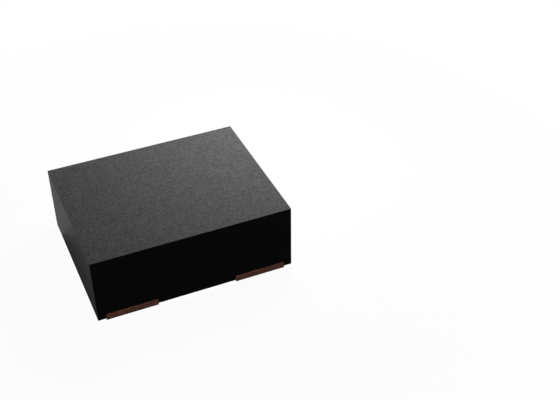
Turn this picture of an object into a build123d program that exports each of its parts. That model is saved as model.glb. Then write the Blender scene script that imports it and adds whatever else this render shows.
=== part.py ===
from build123d import *
import os
from math import cos, radians, sin, sqrt

# Bulk acoustic wave oscillator in a moulded package without legs, sawn from a moulded strip.
# Millimetres. X runs along the long side, Y across, Z up from the plane that the pads stand on.
# The origin is the middle of the package on that plane, and pad 1 is at -X, -Y.

# Package
package_length = 2.5
package_width = 2.0
package_height = 0.9
stand_off = 0.025  # the pads reach this far below the mould's underside

# Solder pads
pad_length = 0.65
pad_width = 0.70
pad_end_margin = 0.10  # from a pad to the package's short side
pad_one_cut = 0.20  # the cut corner that marks pad 1
plating_thickness = 0.008

# Copper leads, etched half through where they are thin
frame_thickness = 0.203
shelf_thickness = 0.10  # left above the etch from below
shelf_reach = 0.12  # how far the shelf runs inwards beyond the pad
shelf_reach_out = 0.05  # how far it runs towards the short side
shelf_corner = 0.09
sawn_copper_height = 0.065  # bare copper above the mould's underside
sawn_end_depth = 0.12  # length of the etch from above, beside the saw cut
etch_radius = 0.045

# Dies, and the adhesive films under them
die_length = 1.20
die_width = 1.00
die_thickness = 0.15
resonator_length = 0.58
resonator_width = 0.46
resonator_thickness = 0.11
film_thickness = 0.020

# Acoustic stack on the resonator die: five-sided, with no two sides parallel
stack_radius = 0.115
stack_height = 0.010
stack_corner_angles = (8, 74, 151, 214, 293)

# Bond wires: a ball at the high end, a loop, and a flat stitch at the low end
wire_diameter = 0.025
wire_flats = 8  # the round section is drawn with flats, so that a loop is plain faces
ball_diameter = 0.056
ball_height = 0.014
neck_diameter = 0.036
neck_height = 0.012
lead_loop_height = 0.125  # above the ball's seat
resonator_loop_height = 0.080
shoulder_share = 0.38  # of the span, where a loop turns down
bend_share = 0.8  # of the most that a loop's two bends have room for
stitch_length = 0.070
stitch_heel_spread = 0.009  # how much wider than the wire the stitch begins
stitch_toe_spread = 0.027  # and how much wider it ends
stitch_toe_height = 0.006

# Where the wires are bonded
die_bond_margin = 0.060  # from a die's two nearest sides to a ball
lead_bond_end_margin = 0.25  # from the pad's outer end to the stitch
lead_bond_side_margin = 0.20  # from the shelf's end to the stitch
inner_bond_gap = 0.14  # from the resonator die's end to its wires' stitches
inner_bond_margin = 0.020  # from the line of the resonator die's long side to them

# Heights that follow from the sizes above
lead_bottom = plating_thickness
lead_top = lead_bottom + frame_thickness
shelf_bottom = lead_top - shelf_thickness
sawn_end_top = stand_off + sawn_copper_height
die_bottom = lead_top + film_thickness
die_top = die_bottom + die_thickness
resonator_bottom = die_top + film_thickness
resonator_top = resonator_bottom + resonator_thickness

# Places that follow from the sizes above, all in the +X +Y quarter
side_x = package_length / 2
side_y = package_width / 2
pad_x = side_x - pad_end_margin - pad_length / 2
shelf_end_y = side_y - sawn_end_depth
lead_bond_x = side_x - pad_end_margin - lead_bond_end_margin
lead_bond_y = shelf_end_y - lead_bond_side_margin
inner_bond_x = resonator_length / 2 + inner_bond_gap
inner_bond_y = resonator_width / 2 - inner_bond_margin

# Pads count anticlockwise from above
quarters = {
    "1_enable": (-1, -1),
    "2_ground": (1, -1),
    "3_output": (1, 1),
    "4_supply": (-1, 1),
}
keyed_pad = "1_enable"


def pad_outline(pin, inset, end_y):
    """One pad's plan, drawn in by inset on its three inner sides, as far as end_y."""
    sx, sy = quarters[pin]
    inner_y = side_y - pad_width + inset
    inset_cut = pad_one_cut - inset * (2 - sqrt(2))  # keeps the slanted side that far in too
    with BuildSketch() as outline:
        with Locations((sx * pad_x, sy * (inner_y + end_y) / 2)):
            Rectangle(pad_length - 2 * inset, end_y - inner_y)
        if pin == keyed_pad:
            inner = outline.vertices().sort_by(lambda corner: abs(corner.Y))[:2]
            chamfer(inner.sort_by(lambda corner: abs(corner.X))[-1], inset_cut)
    return outline.sketch


def lead(pin):
    """A copper lead: a full-thickness foot, a shelf that keys it into the mould, and a thin sawn end."""
    sx, sy = quarters[pin]
    foot_length = pad_length - 2 * plating_thickness
    shelf_length = pad_length + shelf_reach + shelf_reach_out
    shelf_width = pad_width + shelf_reach - sawn_end_depth
    shelf_x = pad_x - (shelf_reach - shelf_reach_out) / 2
    shelf_y = shelf_end_y - shelf_width / 2
    with BuildPart() as made:
        with BuildSketch(Plane.XY.offset(lead_bottom)):
            add(pad_outline(pin, plating_thickness, shelf_end_y))
        extrude(amount=frame_thickness)

        with BuildSketch(Plane.XY.offset(shelf_bottom)) as shelf:
            with Locations((sx * shelf_x, sy * shelf_y)):
                Rectangle(shelf_length, shelf_width)
            fillet(shelf.vertices().sort_by(lambda corner: abs(corner.Y))[:2], shelf_corner)
        extrude(amount=shelf_thickness)
        undercut = made.edges().filter_by_position(Axis.Z, shelf_bottom, shelf_bottom)
        fillet(undercut.filter_by(lambda edge: edge.is_interior), etch_radius)

        with BuildSketch(Plane.YZ.offset(sx * pad_x)):
            with BuildLine():
                FilletPolyline(
                    (sy * (shelf_end_y - etch_radius), lead_bottom),
                    (sy * side_y, lead_bottom),
                    (sy * side_y, sawn_end_top),
                    (sy * shelf_end_y, sawn_end_top),
                    (sy * shelf_end_y, lead_top),
                    (sy * (shelf_end_y - etch_radius), lead_top),
                    radius=(0, 0, 0, etch_radius, 0, 0),
                    close=True,
                )
            make_face()
        extrude(amount=foot_length / 2, both=True)
    made.part.label = f"lead_{pin}"
    return made


def plating(pin, copper):
    """The bright plating on a pad's underside and on the three sides that stand out of the mould."""
    with BuildPart() as made:
        with BuildSketch():
            add(pad_outline(pin, 0, side_y))
        extrude(amount=stand_off)
        add(copper.part, mode=Mode.SUBTRACT)
    made.part.label = f"plating_{pin}"
    return made


def slab(label, length, width, thickness, bottom):
    """A die or a film: a sharp-edged rectangle over the package's middle."""
    with BuildPart() as made:
        with BuildSketch(Plane.XY.offset(bottom)):
            Rectangle(length, width)
        extrude(amount=thickness)
    made.part.label = label
    return made


def resonator():
    """The resonator die with its acoustic stack, a low mesa."""
    with BuildPart() as made:
        with BuildSketch(Plane.XY.offset(resonator_bottom)):
            Rectangle(resonator_length, resonator_width)
        extrude(amount=resonator_thickness)
        corners = [
            (stack_radius * cos(radians(angle)), stack_radius * sin(radians(angle)))
            for angle in stack_corner_angles
        ]
        with BuildSketch(Plane.XY.offset(resonator_top)):
            with BuildLine():
                Polyline(*corners, close=True)
            make_face()
        extrude(amount=stack_height)
    made.part.label = "resonator_die"
    return made


def wire_section(diameter):
    """The wire's section, turned so that two of its flats face along the loop's plane."""
    with BuildSketch() as section:
        RegularPolygon(diameter / 2, wire_flats, major_radius=False, rotation=180 / wire_flats)
    return section.sketch


def stitch(loop_plane):
    """The wire's low end, pressed flat and wide. loop_plane's origin is on the seat, under the wire's end."""
    seat = Plane(origin=loop_plane.origin, x_dir=loop_plane.x_dir, z_dir=loop_plane.y_dir)
    heel_half_width = (wire_diameter + stitch_heel_spread) / 2
    toe_half_width = (wire_diameter + stitch_toe_spread) / 2
    heel_x = -wire_diameter / 2
    toe_x = heel_x + stitch_length
    widest_x = toe_x - toe_half_width / 2
    with BuildPart() as made:
        with BuildSketch(seat):
            with BuildLine():
                Polyline(
                    (widest_x, -toe_half_width),
                    (heel_x, -heel_half_width),
                    (heel_x, heel_half_width),
                    (widest_x, toe_half_width),
                )
                ThreePointArc((widest_x, toe_half_width), (toe_x, 0), (widest_x, -toe_half_width))
            make_face()
        extrude(amount=wire_diameter)
        with BuildSketch(loop_plane):
            with BuildLine():
                Polyline(
                    (heel_x, 0),
                    (heel_x, wire_diameter),
                    (-heel_x, wire_diameter),
                    (toe_x, stitch_toe_height),
                    (toe_x, 0),
                    close=True,
                )
            make_face()
        extrude(amount=toe_half_width, both=True, mode=Mode.INTERSECT)
    return made


def bond_wire(label, start, end, loop_height):
    """A wire from a ball on a die's top face to a stitch on a lower face; start and end are on those."""
    start, end = Vector(*start), Vector(*end)
    along = Vector(end.X - start.X, end.Y - start.Y, 0)
    across = along.cross(Vector(0, 0, 1))
    loop_plane = Plane(origin=start, x_dir=along, z_dir=across)
    span = along.length
    shoulder = span * shoulder_share
    wire_start = ball_height + neck_height
    bend_radius = bend_share * min(loop_height - wire_start, shoulder / 2)
    with BuildPart() as made:
        with BuildSketch(Plane(origin=start)):
            Circle(ball_diameter / 2)
        extrude(amount=ball_height)
        for height, diameter in ((ball_height, neck_diameter), (wire_start, wire_diameter)):
            with BuildSketch(Plane(origin=start + Vector(0, 0, height), x_dir=along)):
                add(wire_section(diameter))
        loft()
        with BuildLine(loop_plane) as route:
            FilletPolyline(
                (0, wire_start),
                (0, loop_height),
                (shoulder, loop_height),
                (span, end.Z - start.Z + wire_diameter / 2),
                radius=bend_radius,
            )
        with BuildSketch(Plane(origin=start + Vector(0, 0, wire_start), x_dir=along)):
            add(wire_section(wire_diameter))
        sweep(path=route.line)
        add(stitch(Plane(origin=end, x_dir=along, z_dir=across)).part)
    made.part.label = label
    return made


# The leads and what they carry
pieces = []
for pin in quarters:
    copper = lead(pin)
    pieces += [copper, plating(pin, copper)]
pieces.append(slab("die_attach_film", die_length, die_width, film_thickness, lead_top))
pieces.append(slab("oscillator_die", die_length, die_width, die_thickness, die_bottom))
pieces.append(slab("resonator_attach_film", resonator_length, resonator_width, film_thickness, die_top))
pieces.append(resonator())

# In each quarter, one wire from the oscillator die to the lead and one from the resonator die to it
for number, (pin, (sx, sy)) in enumerate(quarters.items(), start=1):
    die_ball = (sx * (die_length / 2 - die_bond_margin), sy * (die_width / 2 - die_bond_margin), die_top)
    lead_stitch = (sx * lead_bond_x, sy * lead_bond_y, lead_top)
    pieces.append(bond_wire(f"bond_wire_{pin}", die_ball, lead_stitch, lead_loop_height))

    resonator_ball_x = resonator_length / 2 - die_bond_margin
    resonator_ball_y = resonator_width / 2 - die_bond_margin
    resonator_ball = (sx * resonator_ball_x, sy * resonator_ball_y, resonator_top)
    die_stitch = (sx * inner_bond_x, sy * inner_bond_y, die_top)
    pieces.append(bond_wire(f"resonator_wire_{number}", resonator_ball, die_stitch, resonator_loop_height))

# The moulding, which fills all that the other pieces leave of the block
with BuildPart() as mould:
    with BuildSketch(Plane.XY.offset(stand_off)):
        Rectangle(package_length, package_width)
    extrude(amount=package_height - stand_off)
    for piece in pieces:
        add(piece.part, mode=Mode.SUBTRACT)
mould.part.label = "mould_body"
pieces.append(mould)

os.makedirs("parts", exist_ok=True)
for piece in pieces:
    export_step(piece.part, f"parts/{piece.part.label}.step")
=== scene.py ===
"""Dressed scene of a small moulded acoustic wave oscillator, standing on its four solder pads.

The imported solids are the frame. Each sub-assembly class dresses its own nodes, and the lead frame
also gets the saw marks of its cut copper ends. Everything is in metres, in the frame of the solids.
"""

import logging
import math
from dataclasses import dataclass, field
from enum import Enum
from typing import NamedTuple

import bpy
from mathutils import Matrix, Vector


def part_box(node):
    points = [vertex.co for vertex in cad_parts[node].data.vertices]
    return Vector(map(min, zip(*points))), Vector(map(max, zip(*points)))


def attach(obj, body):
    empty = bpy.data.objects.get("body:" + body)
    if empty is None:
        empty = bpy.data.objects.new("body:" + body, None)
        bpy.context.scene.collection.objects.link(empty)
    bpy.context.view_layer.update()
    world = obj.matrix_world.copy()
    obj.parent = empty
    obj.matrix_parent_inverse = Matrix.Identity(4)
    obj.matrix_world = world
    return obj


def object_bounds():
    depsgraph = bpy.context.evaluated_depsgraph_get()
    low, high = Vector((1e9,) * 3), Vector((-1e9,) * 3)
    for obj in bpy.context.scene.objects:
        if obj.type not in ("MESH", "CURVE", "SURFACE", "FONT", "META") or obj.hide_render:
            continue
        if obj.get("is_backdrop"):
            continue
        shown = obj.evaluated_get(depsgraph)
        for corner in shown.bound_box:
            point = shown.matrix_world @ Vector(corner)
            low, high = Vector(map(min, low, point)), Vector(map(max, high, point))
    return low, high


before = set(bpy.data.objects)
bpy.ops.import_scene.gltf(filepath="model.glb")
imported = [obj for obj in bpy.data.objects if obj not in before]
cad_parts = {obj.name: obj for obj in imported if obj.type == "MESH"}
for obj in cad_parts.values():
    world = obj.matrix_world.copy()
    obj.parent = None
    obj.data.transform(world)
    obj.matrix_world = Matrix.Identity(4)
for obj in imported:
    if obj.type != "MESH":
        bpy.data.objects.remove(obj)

MM = 1e-3
UM = 1e-6
LOG = logging.getLogger("oscillator")

Colour = tuple[float, float, float, float]
Point = tuple[float, float, float]
PerAxis = tuple[float, float, float]
Range = tuple[float, float]
Socket = bpy.types.NodeSocket
Values = dict[str | int, object]

FULL: Range = (0.0, 1.0)
WHITE: Colour = (1.0, 1.0, 1.0, 1.0)
BLACK: Colour = (0.0, 0.0, 0.0, 1.0)


class Pin(Enum):
    """The four connections, numbered as on the underside."""

    ENABLE = 1
    GROUND = 2
    OUTPUT = 3
    SUPPLY = 4

    def node(self, prefix: str) -> str:
        """Name of the solid of this pin that starts with the prefix."""
        return f"{prefix}_{self.value}_{self.name.lower()}"


class Axis(Enum):
    """The three axes, by their place in a vector."""

    X = 0
    Y = 1
    Z = 2


# Node trees


class Tree:
    """A node tree with short calls that add nodes and join them."""

    # A Mix node's colours share their names with its numbers, so these sockets go by number.
    MIX_FIRST = 6
    MIX_SECOND = 7
    MIX_RESULT = 2

    def __init__(self, tree: bpy.types.NodeTree) -> None:
        """Keeps the shader or geometry tree to build in."""
        self.tree = tree

    def add(self, kind: str, values: Values | None = None, **settings: object) -> bpy.types.Node:
        """Adds a node.

        Args:
            kind: the node's type.
            values: input sockets by name or number. A socket as value is joined, anything else is set.
            settings: the node's own properties.

        Returns:
            The new node.
        """
        node = self.tree.nodes.new(kind)
        for name, value in settings.items():
            setattr(node, name, value)
        for key, value in (values or {}).items():
            self.feed(node.inputs[key], value)
        return node

    def feed(self, target: Socket, value: object) -> None:
        """Joins a socket to the target, or sets the target's own value.

        Args:
            target: the input socket.
            value: an output socket or a plain value.
        """
        if isinstance(value, Socket):
            self.tree.links.new(value, target)
        else:
            target.default_value = value

    def maths(self, operation: str, first: object, second: object = 0.0) -> Socket:
        """Adds one calculation on sockets or numbers, named as in Blender."""
        return self.add("ShaderNodeMath", {0: first, 1: second}, operation=operation).outputs[0]

    def times(self, first: object, second: object) -> Socket:
        """Multiplies two sockets or numbers."""
        return self.maths("MULTIPLY", first, second)

    def stretched(self, place: Socket, rates: object) -> Socket:
        """Multiplies a vector by another, axis by axis."""
        return self.add("ShaderNodeVectorMath", {0: place, 1: rates}, operation="MULTIPLY").outputs[0]

    def along(self, place: Socket, axis: Axis) -> Socket:
        """Takes out what a vector measures along one axis."""
        return self.add("ShaderNodeSeparateXYZ", {0: place}).outputs[axis.value]

    def vector(self, parts: dict[Axis, object]) -> Socket:
        """Makes a vector of sockets or numbers, zero along any axis left out."""
        values = {axis.value: part for axis, part in parts.items()}
        return self.add("ShaderNodeCombineXYZ", values).outputs[0]

    def spread(self, value: Socket, within: Range, onto: Range = FULL) -> Socket:
        """Stretches a value from one range to another, held inside it.

        Args:
            value: the socket to stretch.
            within: the two ends of the range it comes in.
            onto: what those two ends become.

        Returns:
            The result's socket.
        """
        values = dict(enumerate((value, *within, *onto)))
        return self.add("ShaderNodeMapRange", values).outputs[0]

    def mix(self, share: object, first: object, second: object) -> Socket:
        """Mixes two colours.

        Args:
            share: how much of the second, a socket or number.
            first: a colour or socket.
            second: a colour or socket.

        Returns:
            The mixed colour's socket.
        """
        values = {0: share, self.MIX_FIRST: first, self.MIX_SECOND: second}
        return self.add("ShaderNodeMix", values, data_type="RGBA").outputs[self.MIX_RESULT]

    def shader(self, share: Socket, first: bpy.types.Node, second: bpy.types.Node) -> bpy.types.Node:
        """Mixes two shaders, with this share of the second."""
        values = {0: share, 1: first.outputs[0], 2: second.outputs[0]}
        return self.add("ShaderNodeMixShader", values)


@dataclass
class SharedEffects:
    """Node groups that several finishes use, each built once."""

    grain_contrast: Range = (0.3, 0.7)
    mottle_contrast: Range = (0.35, 0.65)
    mottle_scale: float = 0.13
    line_contrast: Range = (0.36, 0.64)
    broad_scale: float = 0.22
    broad_share: float = 0.4
    grain: bpy.types.NodeTree = field(init=False)
    lines: bpy.types.NodeTree = field(init=False)

    def __post_init__(self) -> None:
        """Builds the groups."""
        self.grain = self.fine_grain()
        self.lines = self.tool_lines()

    @staticmethod
    def start(name: str, inputs: dict[str, object]) -> tuple[Tree, bpy.types.Node, bpy.types.Node]:
        """Makes an empty group that takes the inputs and gives a shade and a height.

        Args:
            name: the group's name.
            inputs: default values by name, each a vector or a number.

        Returns:
            The tree, the group's input node and its output node.
        """
        group = bpy.data.node_groups.new(name, "ShaderNodeTree")
        for label, default in inputs.items():
            kind = "NodeSocketVector" if isinstance(default, tuple) else "NodeSocketFloat"
            socket = group.interface.new_socket(label, in_out="INPUT", socket_type=kind)
            socket.default_value = default
        for label in ("Shade", "Height"):
            group.interface.new_socket(label, in_out="OUTPUT", socket_type="NodeSocketFloat")
        tree = Tree(group)
        return tree, tree.add("NodeGroupInput"), tree.add("NodeGroupOutput")

    def fine_grain(self) -> bpy.types.NodeTree:
        """Builds fine grain with a slow mottle over it, as on moulded compound, film and etched metal.

        Returns:
            The group, with outputs Shade and Height, both from 0 to 1.
        """
        inputs = {"Vector": (0.0, 0.0, 0.0), "Fineness": 1 / (20 * UM), "Mottle": 0.3}
        tree, given, made = self.start("fine_grain", inputs)
        place = given.outputs["Vector"]
        fineness = given.outputs["Fineness"]
        mottle = given.outputs["Mottle"]
        fine = {"Vector": place, "Scale": fineness, "Detail": 2.0}
        grain = tree.add("ShaderNodeTexNoise", fine).outputs[0]
        slow = {"Vector": place, "Scale": tree.times(fineness, self.mottle_scale), "Detail": 3.0}
        patches = tree.add("ShaderNodeTexNoise", slow).outputs[0]
        sharp = tree.times(tree.spread(grain, self.grain_contrast), tree.maths("SUBTRACT", 1.0, mottle))
        soft = tree.times(tree.spread(patches, self.mottle_contrast), mottle)
        tree.feed(made.inputs["Shade"], tree.maths("ADD", sharp, soft))
        tree.feed(made.inputs["Height"], grain)
        return tree.tree

    def tool_lines(self) -> bpy.types.NodeTree:
        """Builds straight fine lines that a saw or brush leaves, uneven in depth.

        Returns:
            The group, with outputs Shade and Height, both from 0 to 1.
        """
        inputs = {"Vector": (0.0, 0.0, 0.0), "Frequency": (1 / MM, 1 / MM, 1 / (12 * UM))}
        tree, given, made = self.start("tool_lines", inputs)
        place = tree.stretched(given.outputs["Vector"], given.outputs["Frequency"])
        fine = tree.add("ShaderNodeTexNoise", {"Vector": place, "Scale": 1.0, "Detail": 2.0})
        broad = tree.add("ShaderNodeTexNoise", {"Vector": place, "Scale": self.broad_scale, "Detail": 1.0})
        both = tree.maths("ADD", tree.times(fine.outputs[0], 1 - self.broad_share),
                          tree.times(broad.outputs[0], self.broad_share))
        tree.feed(made.inputs["Shade"], tree.spread(both, self.line_contrast))
        tree.feed(made.inputs["Height"], both)
        return tree.tree


# Finishes


class Surface(NamedTuple):
    """What changes over a surface, each as the socket that gives it."""

    colour: Socket
    roughness: Socket
    height: Socket


@dataclass(frozen=True)
class Finish:
    """What every finish has: its gloss, its grain, and the way its surface is built up.

    The drift is what the roughness gains where the shade is 0, and where it is 1.
    """

    name: str = "finish"
    roughness: float = 0.5
    drift: Range = (0.0, 0.0)
    specular: float = 0.5
    metallic: float = 0.0
    relief: float = 1.0 * UM
    fineness: float = 1 / (40 * UM)
    mottle: float = 0.5

    def material(self, shared: SharedEffects) -> bpy.types.Material:
        """Builds the material.

        Args:
            shared: the groups that finishes have in common.

        Returns:
            The finished material.
        """
        material = bpy.data.materials.new(self.name)
        material.use_nodes = True
        material.node_tree.nodes.clear()
        tree = Tree(material.node_tree)
        shader = tree.add("ShaderNodeBsdfPrincipled")
        shader.inputs["Metallic"].default_value = self.metallic
        shader.inputs["Specular IOR Level"].default_value = self.specular
        surface = self.surface(tree, shared)
        relief = {"Height": surface.height, "Distance": self.relief, "Strength": 1.0}
        tree.feed(shader.inputs["Base Color"], surface.colour)
        tree.feed(shader.inputs["Roughness"], surface.roughness)
        tree.feed(shader.inputs["Normal"], tree.add("ShaderNodeBump", relief).outputs[0])
        tree.add("ShaderNodeOutputMaterial", {"Surface": shader.outputs[0]})
        return material

    def surface(self, tree: Tree, shared: SharedEffects) -> Surface:
        """Builds what changes over the surface; each finish has its own.

        Args:
            tree: the material's tree.
            shared: the groups that finishes have in common.

        Returns:
            Sockets of the colour, the roughness and the height.
        """
        raise NotImplementedError

    def grain(self, tree: Tree, shared: SharedEffects, place: Socket) -> bpy.types.Node:
        """Places the shared grain, as fine and as mottled as this finish has it."""
        values = {"Vector": place, "Fineness": self.fineness, "Mottle": self.mottle}
        return tree.add("ShaderNodeGroup", values, node_tree=shared.grain)

    @staticmethod
    def lines(tree: Tree, shared: SharedEffects, place: Socket, frequency: PerAxis) -> bpy.types.Node:
        """Places the shared tool lines, with their frequency along each axis."""
        values = {"Vector": place, "Frequency": frequency}
        return tree.add("ShaderNodeGroup", values, node_tree=shared.lines)

    def gloss(self, tree: Tree, shade: Socket) -> Socket:
        """Builds the roughness, which drifts with the shade."""
        at_none, at_full = self.drift
        return tree.spread(shade, FULL, (self.roughness + at_none, self.roughness + at_full))


@dataclass(frozen=True)
class MouldCompound(Finish):
    """Black filled epoxy: fine moulded grain on top, sawn sides with cut filler grains, darkened by
    painted shade.
    """

    name: str = "black_mould_compound"
    roughness: float = 0.38
    sawn_roughness: float = 0.58
    drift: Range = (-0.04, 0.04)
    specular: float = 0.066
    relief: float = 2.2 * UM
    fineness: float = 1 / (24 * UM)
    mottle: float = 0.10
    dark: Colour = (0.042, 0.042, 0.043, 1.0)
    light: Colour = (0.088, 0.088, 0.0905, 1.0)
    side_slope: Range = (0.4, 0.6)
    # Painted shade: a near-black colour and its share, mixed into the sawn sides to darken them.
    painted_side_shade: Colour = (0.012, 0.012, 0.0125, 1.0)
    painted_side_shade_share: float = 0.5
    saw_lines: PerAxis = (900.0, 900.0, 1 / (16 * UM))
    line_share: float = 0.25
    line_depth: float = 0.4
    filler: Colour = (0.125, 0.125, 0.13, 1.0)
    filler_share: float = 0.35
    filler_fineness: float = 1 / (30 * UM)
    filler_radius: Range = (0.08, 0.34)
    filler_edge: Range = (0.0, 0.06)

    def surface(self, tree: Tree, shared: SharedEffects) -> Surface:
        """Builds the grain, the saw lines, the filler that a saw has cut through, and painted shade on the
        sawn sides.

        Args:
            tree: the material's tree.
            shared: the groups that finishes have in common.

        Returns:
            Sockets of the colour, the roughness and the height.
        """
        coords = tree.add("ShaderNodeTexCoord")
        place = coords.outputs["Object"]
        upward = tree.maths("ABSOLUTE", tree.along(coords.outputs["Normal"], Axis.Z))
        sawn = tree.spread(upward, self.side_slope, (1.0, 0.0))
        grain = self.grain(tree, shared, place)
        lines = self.lines(tree, shared, place, self.saw_lines)
        moulded = tree.mix(grain.outputs["Shade"], self.dark, self.light)
        # Painted shade: the sawn sides are mixed towards a near-black colour, darker than the top.
        shaded = tree.mix(tree.times(sawn, self.painted_side_shade_share), moulded, self.painted_side_shade)
        scored = tree.times(lines.outputs["Shade"], tree.times(sawn, self.line_share))
        lined = tree.mix(scored, shaded, self.light)
        cut_filler = tree.times(self.filler_discs(tree, place), tree.times(sawn, self.filler_share))
        rougher = tree.times(sawn, self.sawn_roughness - self.roughness)
        drawn = tree.times(lines.outputs["Height"], tree.times(sawn, self.line_depth))
        return Surface(
            colour=tree.mix(cut_filler, lined, self.filler),
            roughness=tree.maths("ADD", self.gloss(tree, grain.outputs["Shade"]), rougher),
            height=tree.maths("ADD", grain.outputs["Height"], drawn),
        )

    def filler_discs(self, tree: Tree, place: Socket) -> Socket:
        """Builds the round sections of filler grains, each with a radius of its own.

        Args:
            tree: the material's tree.
            place: the point on the surface.

        Returns:
            Socket that is 1 on a filler grain and 0 off it.
        """
        cells = {"Vector": place, "Scale": self.filler_fineness, "Randomness": 1.0}
        filler = tree.add("ShaderNodeTexVoronoi", cells)
        chance = tree.add("ShaderNodeSeparateColor", {0: filler.outputs["Color"]}).outputs[0]
        radius = tree.spread(chance, FULL, self.filler_radius)
        return tree.spread(tree.maths("SUBTRACT", radius, filler.outputs["Distance"]), self.filler_edge)


@dataclass(frozen=True)
class SawnCopper(Finish):
    """Lead frame copper, red brown, with the upright lines of the saw."""

    name: str = "lead_frame_copper"
    roughness: float = 0.50
    drift: Range = (0.1, -0.06)
    metallic: float = 1.0
    relief: float = 0.6 * UM
    fineness: float = 1 / (40 * UM)
    mottle: float = 0.35
    deep: Colour = (0.29, 0.118, 0.085, 1.0)
    bright: Colour = (0.66, 0.312, 0.236, 1.0)
    saw_lines: PerAxis = (1 / (16 * UM), 1 / (400 * UM), 1 / (300 * UM))
    tarnish: Colour = (0.25, 0.108, 0.080, 1.0)
    tarnish_contrast: Range = (0.45, 0.95)
    tarnish_share: Range = (0.0, 0.5)

    def surface(self, tree: Tree, shared: SharedEffects) -> Surface:
        """Builds the saw lines and a patchy tarnish.

        Args:
            tree: the material's tree.
            shared: the groups that finishes have in common.

        Returns:
            Sockets of the colour, the roughness and the height.
        """
        place = tree.add("ShaderNodeTexCoord").outputs["Object"]
        grain = self.grain(tree, shared, place)
        lines = self.lines(tree, shared, place, self.saw_lines)
        metal = tree.mix(lines.outputs["Shade"], self.deep, self.bright)
        patches = tree.spread(grain.outputs["Shade"], self.tarnish_contrast, self.tarnish_share)
        return Surface(
            colour=tree.mix(patches, metal, self.tarnish),
            roughness=self.gloss(tree, lines.outputs["Shade"]),
            height=lines.outputs["Height"],
        )


@dataclass(frozen=True)
class PadPlating(Finish):
    """Bright solderable plating with fine brushed lines along the pads."""

    name: str = "bright_pad_plating"
    roughness: float = 0.30
    drift: Range = (0.08, -0.06)
    metallic: float = 1.0
    relief: float = 0.35 * UM
    fineness: float = 1 / (22 * UM)
    grain_share: float = 0.3
    low: Colour = (0.72, 0.72, 0.71, 1.0)
    high: Colour = (0.95, 0.95, 0.94, 1.0)
    brush_lines: PerAxis = (1 / (420 * UM), 1 / (9 * UM), 1 / (60 * UM))

    def surface(self, tree: Tree, shared: SharedEffects) -> Surface:
        """Builds the brushed lines and a fine grain.

        Args:
            tree: the material's tree.
            shared: the groups that finishes have in common.

        Returns:
            Sockets of the colour, the roughness and the height.
        """
        place = tree.add("ShaderNodeTexCoord").outputs["Object"]
        grain = self.grain(tree, shared, place)
        lines = self.lines(tree, shared, place, self.brush_lines)
        shade = tree.maths("ADD", tree.times(lines.outputs["Shade"], 1 - self.grain_share),
                           tree.times(grain.outputs["Shade"], self.grain_share))
        return Surface(
            colour=tree.mix(shade, self.low, self.high),
            roughness=self.gloss(tree, shade),
            height=lines.outputs["Height"],
        )


@dataclass(frozen=True)
class Silicon(Finish):
    """Polished silicon with rows of faint circuit blocks on its upper face."""

    name: str = "patterned_silicon"
    roughness: float = 0.18
    drift: Range = (0.0, 0.1)
    metallic: float = 0.55
    relief: float = 0.3 * UM
    fineness: float = 1 / (50 * UM)
    top_slope: Range = (0.6, 0.9)
    plain: Colour = (0.10, 0.105, 0.125, 1.0)
    block: Colour = (0.17, 0.155, 0.19, 1.0)
    line: Colour = (0.30, 0.27, 0.22, 1.0)
    block_width: float = 46 * UM
    block_height: float = 28 * UM
    line_width: float = 3 * UM

    def surface(self, tree: Tree, shared: SharedEffects) -> Surface:
        """Builds the circuit blocks, on upward faces only.

        Args:
            tree: the material's tree.
            shared: the groups that finishes have in common.

        Returns:
            Sockets of the colour, the roughness and the height.
        """
        coords = tree.add("ShaderNodeTexCoord")
        place = coords.outputs["Object"]
        top = tree.spread(tree.along(coords.outputs["Normal"], Axis.Z), self.top_slope)
        blocks = {
            "Vector": tree.stretched(place, (1 / MM, 1 / MM, 1 / MM)),
            "Color1": self.plain,
            "Color2": self.block,
            "Mortar": self.line,
            "Scale": 1.0,
            "Mortar Size": self.line_width / MM,
            "Brick Width": self.block_width / MM,
            "Row Height": self.block_height / MM,
        }
        circuit = tree.add("ShaderNodeTexBrick", blocks)
        return Surface(
            colour=tree.mix(top, self.plain, circuit.outputs["Color"]),
            roughness=self.gloss(tree, self.grain(tree, shared, place).outputs["Shade"]),
            height=tree.times(circuit.outputs["Fac"], top),
        )


@dataclass(frozen=True)
class GrainedFinish(Finish):
    """A finish of two colours that its grain alone mixes."""

    low: Colour = BLACK
    high: Colour = WHITE

    def surface(self, tree: Tree, shared: SharedEffects) -> Surface:
        """Builds the grain and the two colours.

        Args:
            tree: the material's tree.
            shared: the groups that finishes have in common.

        Returns:
            Sockets of the colour, the roughness and the height.
        """
        grain = self.grain(tree, shared, tree.add("ShaderNodeTexCoord").outputs["Object"])
        shade = grain.outputs["Shade"]
        return Surface(
            colour=tree.mix(shade, self.low, self.high),
            roughness=self.gloss(tree, shade),
            height=grain.outputs["Height"],
        )


@dataclass(frozen=True)
class AttachFilm(GrainedFinish):
    """Filled adhesive film, cream grey and matt."""

    name: str = "attach_film"
    roughness: float = 0.55
    drift: Range = (-0.08, 0.08)
    specular: float = 0.4
    relief: float = 0.8 * UM
    fineness: float = 1 / (14 * UM)
    mottle: float = 0.4
    low: Colour = (0.40, 0.36, 0.28, 1.0)
    high: Colour = (0.60, 0.56, 0.46, 1.0)


@dataclass(frozen=True)
class DrawnWire(GrainedFinish):
    """Drawn copper wire, with a faint grain and colour change from the bonding heat."""

    name: str = "drawn_bond_wire"
    roughness: float = 0.24
    drift: Range = (-0.05, 0.08)
    metallic: float = 1.0
    relief: float = 0.15 * UM
    fineness: float = 1 / (35 * UM)
    mottle: float = 0.7
    low: Colour = (0.80, 0.50, 0.36, 1.0)
    high: Colour = (0.70, 0.34, 0.20, 1.0)


def dress(names: list[str], material: bpy.types.Material) -> None:
    """Gives solids of the frame their material.

    Args:
        names: the nodes.
        material: what each of them is made of.
    """
    for name in names:
        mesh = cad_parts[name].data
        mesh.materials.clear()
        mesh.materials.append(material)
        LOG.info("dressed %s with %s", name, material.name)


# Sub-assemblies


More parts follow.
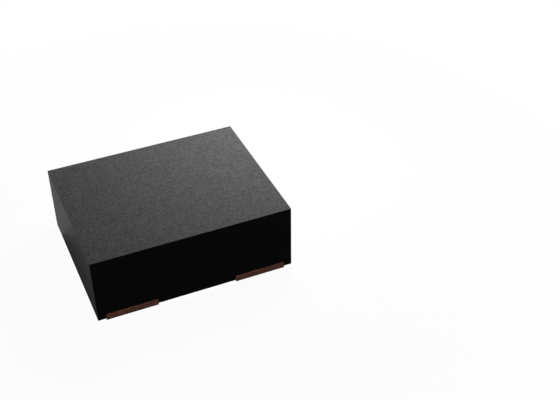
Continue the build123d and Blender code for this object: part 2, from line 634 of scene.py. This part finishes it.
@dataclass
class MouldedBody:
    """The black moulded block."""

    finish: MouldCompound = field(default_factory=MouldCompound)

    def build(self, shared: SharedEffects) -> None:
        """Dresses the block, whose shape is the solid's own."""
        dress(["mould_body"], self.finish.material(shared))


@dataclass
class LeadFrame:
    """Four copper leads and the saw marks on their cut ends."""

    finish: SawnCopper = field(default_factory=SawnCopper)
    slot: str = "lead_copper"
    bare_copper: float = 0.065 * MM
    plate_margin: float = 1 * UM
    plate_sunk: float = 4 * UM
    rim_share: float = 0.001
    line_height: float = 1.5 * UM
    line_frequency: PerAxis = (1 / (26 * UM), 1 / MM, 1 / (220 * UM))
    points_across: int = 64
    points_up: int = 7
    seed: int = 11

    def build(self, shared: SharedEffects) -> None:
        """Dresses the leads and adds the sawn ends.

        Args:
            shared: the groups that finishes have in common.
        """
        copper = self.finish.material(shared)
        dress([pin.node("lead") for pin in Pin], copper)
        ends = self.sawn_ends(copper)
        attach(ends, "root")
        LOG.info("built %s with %d faces", ends.name, len(ends.data.polygons))

    def cut_faces(self) -> list[tuple[Vector, Vector]]:
        """Finds the leads' cut faces on the solids: as wide as the pads, up to the top of the bare copper.

        Returns:
            Lowest and highest corner of each cut face.
        """
        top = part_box("mould_body")[0].z + self.bare_copper
        faces = []
        for pin in Pin:
            pad_low, pad_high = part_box(pin.node("plating"))
            lead_low, lead_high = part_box(pin.node("lead"))
            cut = max(lead_low.y, lead_high.y, key=abs)
            faces.append((Vector((pad_low.x, cut, lead_low.z)), Vector((pad_high.x, cut, top))))
        return faces

    def sawn_ends(self, copper: bpy.types.Material) -> bpy.types.Object:
        """Makes the lined faces that the saw leaves on the four copper ends.

        Args:
            copper: the leads' material.

        Returns:
            One plain mesh of four thin plates.
        """
        faces = self.cut_faces()
        low, high = faces[0]
        mesh = bpy.data.meshes.new("sawn_copper_ends")
        mesh.from_pydata([(first + last) / 2 for first, last in faces], [], [])
        holder = bpy.data.objects.new("sawn_copper_ends", mesh)
        bpy.context.scene.collection.objects.link(holder)
        tree = self.saw_tree()
        modifier = holder.modifiers.new("saw_marks", "NODES")
        modifier.node_group = tree
        values = {
            "Width": high.x - low.x,
            "Height": high.z - low.z - 2 * self.plate_margin,
            "Sunk": self.plate_sunk,
            "Rim Share": self.rim_share,
            "Line Height": self.line_height,
            "Line Frequency": self.line_frequency,
            "Points Across": self.points_across,
            "Points Up": self.points_up,
            "Seed": self.seed,
            "Copper": copper,
        }
        for item in tree.interface.items_tree:
            if item.in_out == "INPUT" and item.name in values:
                modifier[item.identifier] = values[item.name]
        bpy.context.view_layer.update()
        graph = bpy.context.evaluated_depsgraph_get()
        plain = bpy.data.meshes.new_from_object(holder.evaluated_get(graph), depsgraph=graph)
        holder.modifiers.remove(modifier)
        plain.name = "sawn_copper_ends"
        holder.data = plain
        return holder

    def saw_tree(self) -> bpy.types.NodeTree:
        """Builds the Geometry Nodes tree of the saw marks: a plate on each point, lined outwards.

        Returns:
            The geometry node tree.
        """
        group = bpy.data.node_groups.new("saw_marks", "GeometryNodeTree")
        sockets = {
            "Points": "NodeSocketGeometry",
            "Width": "NodeSocketFloat",
            "Height": "NodeSocketFloat",
            "Sunk": "NodeSocketFloat",
            "Rim Share": "NodeSocketFloat",
            "Line Height": "NodeSocketFloat",
            "Line Frequency": "NodeSocketVector",
            "Points Across": "NodeSocketInt",
            "Points Up": "NodeSocketInt",
            "Seed": "NodeSocketInt",
            "Copper": "NodeSocketMaterial",
        }
        for label, kind in sockets.items():
            group.interface.new_socket(label, in_out="INPUT", socket_type=kind)
        group.interface.new_socket("Plates", in_out="OUTPUT", socket_type="NodeSocketGeometry")
        tree = Tree(group)
        given = tree.add("NodeGroupInput").outputs
        plates = self.laid_plates(tree, given, self.marked_plate(tree, given))
        lined = self.lined_plates(tree, given, plates)
        clean = tree.add("GeometryNodeRemoveAttribute", {"Geometry": lined, "Name": "raised"})
        coated = {"Geometry": clean.outputs[0], "Material": given["Copper"]}
        made = tree.add("GeometryNodeSetMaterial", coated)
        tree.add("NodeGroupOutput", {0: made.outputs[0]})
        return group

    @staticmethod
    def marked_plate(tree: Tree, given: bpy.types.NodeOutputs) -> Socket:
        """Makes one thin plate, marked where the saw's lines may raise it: on its front, inside the rim.

        Args:
            tree: the geometry tree.
            given: the tree's inputs.

        Returns:
            Socket of the plate.
        """
        grid = {
            "Size": tree.vector({Axis.X: given["Width"], Axis.Y: given["Sunk"], Axis.Z: given["Height"]}),
            "Vertices X": given["Points Across"],
            "Vertices Y": 2,
            "Vertices Z": given["Points Up"],
        }
        plate = tree.add("GeometryNodeMeshCube", grid)
        place = tree.add("GeometryNodeInputPosition").outputs[0]
        inner = tree.maths("SUBTRACT", 0.5, given["Rim Share"])
        raised = tree.maths("LESS_THAN", tree.along(place, Axis.Y), 0.0)
        for axis, size in ((Axis.X, given["Width"]), (Axis.Z, given["Height"])):
            away = tree.maths("ABSOLUTE", tree.along(place, axis))
            raised = tree.times(raised, tree.maths("LESS_THAN", away, tree.times(size, inner)))
        named = {"Geometry": plate.outputs[0], "Name": "raised", "Value": raised}
        return tree.add("GeometryNodeStoreNamedAttribute", named).outputs[0]

    @staticmethod
    def laid_plates(tree: Tree, given: bpy.types.NodeOutputs, plate: Socket) -> Socket:
        """Lays the plate on each point, turned so that its front looks out of the part.

        Args:
            tree: the geometry tree.
            given: the tree's inputs.
            plate: the marked plate.

        Returns:
            Socket of the four plates, as one mesh.
        """
        place = tree.add("GeometryNodeInputPosition").outputs[0]
        behind = tree.maths("GREATER_THAN", tree.along(place, Axis.Y), 0.0)
        turn = tree.vector({Axis.Z: tree.times(behind, math.pi)})
        onto = {"Points": given["Points"], "Instance": plate, "Rotation": turn}
        laid = tree.add("GeometryNodeInstanceOnPoints", onto)
        return tree.add("GeometryNodeRealizeInstances", {0: laid.outputs[0]}).outputs[0]

    @staticmethod
    def lined_plates(tree: Tree, given: bpy.types.NodeOutputs, plates: Socket) -> Socket:
        """Raises the saw's upright lines out of the marked fronts.

        Args:
            tree: the geometry tree.
            given: the tree's inputs.
            plates: the plates, as one mesh.

        Returns:
            Socket of the lined plates.
        """
        place = tree.add("GeometryNodeInputPosition").outputs[0]
        across = tree.stretched(place, given["Line Frequency"])
        uneven = {"Vector": across, "W": given["Seed"], "Scale": 1.0, "Detail": 1.0}
        lines = tree.add("ShaderNodeTexNoise", uneven, noise_dimensions="4D").outputs[0]
        marked = tree.add("GeometryNodeInputNamedAttribute", {"Name": "raised"}, data_type="FLOAT")
        lift = tree.times(tree.times(lines, given["Line Height"]), marked.outputs[0])
        outward = tree.maths("SIGN", tree.along(place, Axis.Y))
        moved = {"Geometry": plates, "Offset": tree.vector({Axis.Y: tree.times(lift, outward)})}
        return tree.add("GeometryNodeSetPosition", moved).outputs[0]


@dataclass
class SolderPads:
    """The plating on the four solder pads."""

    finish: PadPlating = field(default_factory=PadPlating)

    def build(self, shared: SharedEffects) -> None:
        """Dresses the plating, whose shape is the solids' own."""
        dress([pin.node("plating") for pin in Pin], self.finish.material(shared))


@dataclass
class DieStack:
    """The circuit die, the resonator die on it, and the films under both."""

    silicon: Silicon = field(default_factory=Silicon)
    film: AttachFilm = field(default_factory=AttachFilm)

    def build(self, shared: SharedEffects) -> None:
        """Dresses the dies and films."""
        dress(["oscillator_die", "resonator_die"], self.silicon.material(shared))
        dress(["die_attach_film", "resonator_attach_film"], self.film.material(shared))


@dataclass
class WireBonds:
    """The wires from die to leads and from die to die."""

    finish: DrawnWire = field(default_factory=DrawnWire)
    resonator_wires: int = 4

    def build(self, shared: SharedEffects) -> None:
        """Dresses every wire.

        Args:
            shared: the groups that finishes have in common.
        """
        names = [pin.node("bond_wire") for pin in Pin]
        names += [f"resonator_wire_{number + 1}" for number in range(self.resonator_wires)]
        dress(names, self.finish.material(shared))


# Studio


def rectangle(low: Point, high: Point) -> list[Point]:
    """Gives the corners of a rectangle that lies flat, or stands upright along x.

    Args:
        low: its corner with the lowest values.
        high: the corner opposite. Both have the same z where it lies flat, and the same y where it stands.

    Returns:
        The four corners in turn.
    """
    (left, near, bottom), (right, away, top) = low, high
    return [(left, near, bottom), (right, near, bottom), (right, away, top), (left, away, top)]


@dataclass(frozen=True)
class Lamp:
    """One soft panel lamp that looks at the part and shows in no gloss."""

    name: str
    place: Point
    size: tuple[float, float]
    energy: float

    def build(self, target: Vector) -> None:
        """Makes the lamp.

        Args:
            target: the point it looks at.
        """
        data = bpy.data.lights.new(self.name, "AREA")
        data.shape = "RECTANGLE"
        data.size, data.size_y = self.size
        data.energy = self.energy
        lamp = bpy.data.objects.new(self.name, data)
        lamp.location = self.place
        lamp.rotation_mode = "QUATERNION"
        lamp.rotation_quaternion = (target - Vector(self.place)).to_track_quat("-Z", "Y")
        lamp.visible_camera = False
        lamp.visible_glossy = False
        bpy.context.scene.collection.objects.link(lamp)
        LOG.info("placed lamp %s", self.name)


@dataclass
class Studio:
    """Pale floor, white surround, soft lamps, and black cards that show only in gloss, as painted shadow
    in reflections.

    The first two values are the lowest and highest corner of the part that it stands round.
    """

    low: list[float]
    high: list[float]
    floor_half: float = 120 * MM
    floor_drop: float = 5 * UM
    floor_gap: float = 10 * UM
    paper: Colour = (0.9, 0.9, 0.9, 1.0)
    unseen_paper: Colour = (0.04, 0.04, 0.04, 1.0)
    shadow_share: float = 0.05
    shadow_fade: Range = (2.4 * MM, 6.5 * MM)
    card_lift: float = 2 * UM
    card_half: float = 12 * MM
    side_card: Range = (-2.0 * MM, -1.25 * MM)
    card_edges: Range = (-1.0 * MM, 0.8 * MM)
    hung_card: Point = (0.6 * MM, 6.0 * MM, 3.2 * MM)
    surround: float = 0.035
    lamps: tuple[Lamp, ...] = (
        Lamp("key_panel", (2.3 * MM, 1.5 * MM, 3.4 * MM), (3 * MM, 3 * MM), 2.4e-4),
        Lamp("top_panel", (-2.0 * MM, 5.5 * MM, 17.0 * MM), (12 * MM, 12 * MM), 1.6e-4),
        Lamp("left_panel", (-16.0 * MM, 4.5 * MM, 6.0 * MM), (10 * MM, 10 * MM), 9.0e-4),
        Lamp("under_panel", (0.0, 7.0 * MM, -17.0 * MM), (12 * MM, 12 * MM), 4.2e-3),
    )

    def build(self) -> None:
        """Makes the floor, the cards, the surround and the lamps, which look at the part's middle."""
        self.floor()
        self.cards()
        self.world()
        middle = (Vector(self.low) + Vector(self.high)) / 2
        for lamp in self.lamps:
            lamp.build(middle)

    @staticmethod
    def sheets(name: str, points: list[Point], faces: list[tuple[int, ...]]) -> bpy.types.Object:
        """Makes a stage piece of flat sheets.

        Args:
            name: the piece's name.
            points: its corners.
            faces: its faces, as numbers of points.

        Returns:
            The object, marked as stage.
        """
        mesh = bpy.data.meshes.new(name)
        mesh.from_pydata(points, [], faces)
        piece = bpy.data.objects.new(name, mesh)
        bpy.context.scene.collection.objects.link(piece)
        piece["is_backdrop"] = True
        LOG.info("laid %s", name)
        return piece

    def floor(self) -> None:
        """Lays the floor round the part, open under it so that light from below reaches the pads."""
        far, gap, z = self.floor_half, self.floor_gap, self.low[2] - self.floor_drop
        outer = rectangle((-far, -far, z), (far, far, z))
        low_corner = (self.low[0] - gap, self.low[1] - gap, z)
        high_corner = (self.high[0] + gap, self.high[1] + gap, z)
        faces = [(0, 1, 5, 4), (1, 2, 6, 5), (2, 3, 7, 6), (3, 0, 4, 7)]
        piece = self.sheets("floor", outer + rectangle(low_corner, high_corner), faces)
        piece.data.materials.append(self.floor_paper())

    def floor_paper(self) -> bpy.types.Material:
        """Builds the white floor, which keeps a soft shadow near the part.

        Returns:
            The floor's material, clear from behind.
        """
        material = bpy.data.materials.new("white_floor_paper")
        material.use_nodes = True
        material.node_tree.nodes.clear()
        tree = Tree(material.node_tree)
        place = tree.add("ShaderNodeTexCoord").outputs["Object"]
        away = tree.add("ShaderNodeVectorMath", {0: place}, operation="LENGTH").outputs["Value"]
        share = tree.spread(away, self.shadow_fade, (self.shadow_share, 0.0))
        white = tree.add("ShaderNodeEmission", {"Color": WHITE, "Strength": 1.0})
        paper = tree.add("ShaderNodeBsdfDiffuse", {"Color": self.paper})
        unseen = tree.add("ShaderNodeBsdfDiffuse", {"Color": self.unseen_paper})
        front = tree.shader(self.background_rays(tree), unseen, tree.shader(share, white, paper))
        behind = tree.add("ShaderNodeNewGeometry").outputs["Backfacing"]
        sheet = tree.shader(behind, front, tree.add("ShaderNodeBsdfTransparent"))
        tree.add("ShaderNodeOutputMaterial", {"Surface": sheet.outputs[0]})
        material.cycles.emission_sampling = "NONE"
        return material

    @staticmethod
    def background_rays(tree: Tree) -> Socket:
        """Finds the rays that should see plain white: from the camera, in gloss and through glass.

        Args:
            tree: the material's or the world's tree.

        Returns:
            Socket that is 1 for those rays.
        """
        rays = tree.add("ShaderNodeLightPath").outputs
        seen = tree.maths("MAXIMUM", rays["Is Camera Ray"], rays["Is Glossy Ray"])
        return tree.maths("MAXIMUM", seen, rays["Is Transmission Ray"])

    def cards(self) -> None:
        """Makes the black cards: on the floor in front and at the left, and one hung at the back left.
        They show only in gloss, as painted dark reflections of the part's shadow.
        """
        far, z = self.card_half, self.low[2] - self.floor_drop + self.card_lift
        left, right = self.side_card
        front, end = self.card_edges
        edge, away, bottom = self.hung_card
        points = rectangle((-far, -far, z), (far, front, z))
        points += rectangle((left, front, z), (right, end, z))
        points += rectangle((-far, away, bottom), (edge, away, far))
        piece = self.sheets("black_card", points, [(0, 1, 2, 3), (4, 5, 6, 7), (8, 9, 10, 11)])
        # Painted shadow in reflections: black, and seen only in gloss, where the floor lies in shade.
        material = bpy.data.materials.new("black_felt")
        material.use_nodes = True
        shader = material.node_tree.nodes["Principled BSDF"]
        shader.inputs["Base Color"].default_value = BLACK
        shader.inputs["Specular IOR Level"].default_value = 0.0
        piece.data.materials.append(material)
        piece.visible_camera = False
        piece.visible_diffuse = False
        piece.visible_transmission = False
        piece.visible_shadow = False

    def world(self) -> None:
        """Makes the surround: white where it is seen, dim as a light."""
        world = bpy.data.worlds.new("studio_surround")
        world.use_nodes = True
        world.node_tree.nodes.clear()
        tree = Tree(world.node_tree)
        dim = tree.add("ShaderNodeBackground", {"Color": WHITE, "Strength": self.surround})
        white = tree.add("ShaderNodeBackground", {"Color": WHITE, "Strength": 1.0})
        both = tree.shader(self.background_rays(tree), dim, white)
        tree.add("ShaderNodeOutputWorld", {"Surface": both.outputs[0]})
        world.cycles.sampling_method = "NONE"
        bpy.context.scene.world = world


@dataclass
class PhotoCamera:
    """The camera at the photograph's viewing angle."""

    place: Point = (-2.682 * MM, -9.735 * MM, 8.329 * MM)
    yaw: float = 0.4091
    pitch: float = 0.651
    roll: float = -0.0112
    lens: float = 64.58
    sensor: float = 36.0
    clip: Range = (0.1 * MM, 1.0)

    def build(self) -> None:
        """Makes the camera and gives it to the scene."""
        data = bpy.data.cameras.new("photo_camera")
        data.lens = self.lens
        data.sensor_width = self.sensor
        data.clip_start, data.clip_end = self.clip
        camera = bpy.data.objects.new("photo_camera", data)
        camera.matrix_world = Matrix.Translation(self.place) @ self.turn().to_4x4()
        bpy.context.scene.collection.objects.link(camera)
        bpy.context.scene.camera = camera
        LOG.info("placed %s", camera.name)

    def turn(self) -> Matrix:
        """Works out how the camera is turned.

        Returns:
            The rotation, with the camera's right, up and backward directions as its columns.
        """
        level = Vector((math.cos(self.yaw), -math.sin(self.yaw), 0.0))
        upward = Vector((math.sin(self.yaw) * math.sin(self.pitch),
                         math.cos(self.yaw) * math.sin(self.pitch), math.cos(self.pitch)))
        right = math.cos(self.roll) * level + math.sin(self.roll) * upward
        up = math.cos(self.roll) * upward - math.sin(self.roll) * level
        return Matrix((right, up, right.cross(up))).transposed()


def corners(box: tuple[Vector, Vector]) -> list[list[float]]:
    """Turns a box into plain lists of numbers."""
    return [[float(value) for value in corner] for corner in box]


def main() -> None:
    """Builds the part's looks, the studio and the camera, and measures the part's box before and after."""
    logging.basicConfig(level=logging.INFO, format="%(name)s: %(message)s")
    sizes = {"cad": corners(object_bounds())}
    PhotoCamera().build()
    shared = SharedEffects()
    for assembly in (MouldedBody(), LeadFrame(), SolderPads(), DieStack(), WireBonds()):
        assembly.build(shared)
    low, high = sizes["cad"]
    Studio(low, high).build()
    bpy.context.scene.view_settings.view_transform = "Standard"
    sizes["visual"] = corners(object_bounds())


if __name__ == "__main__":
    main()
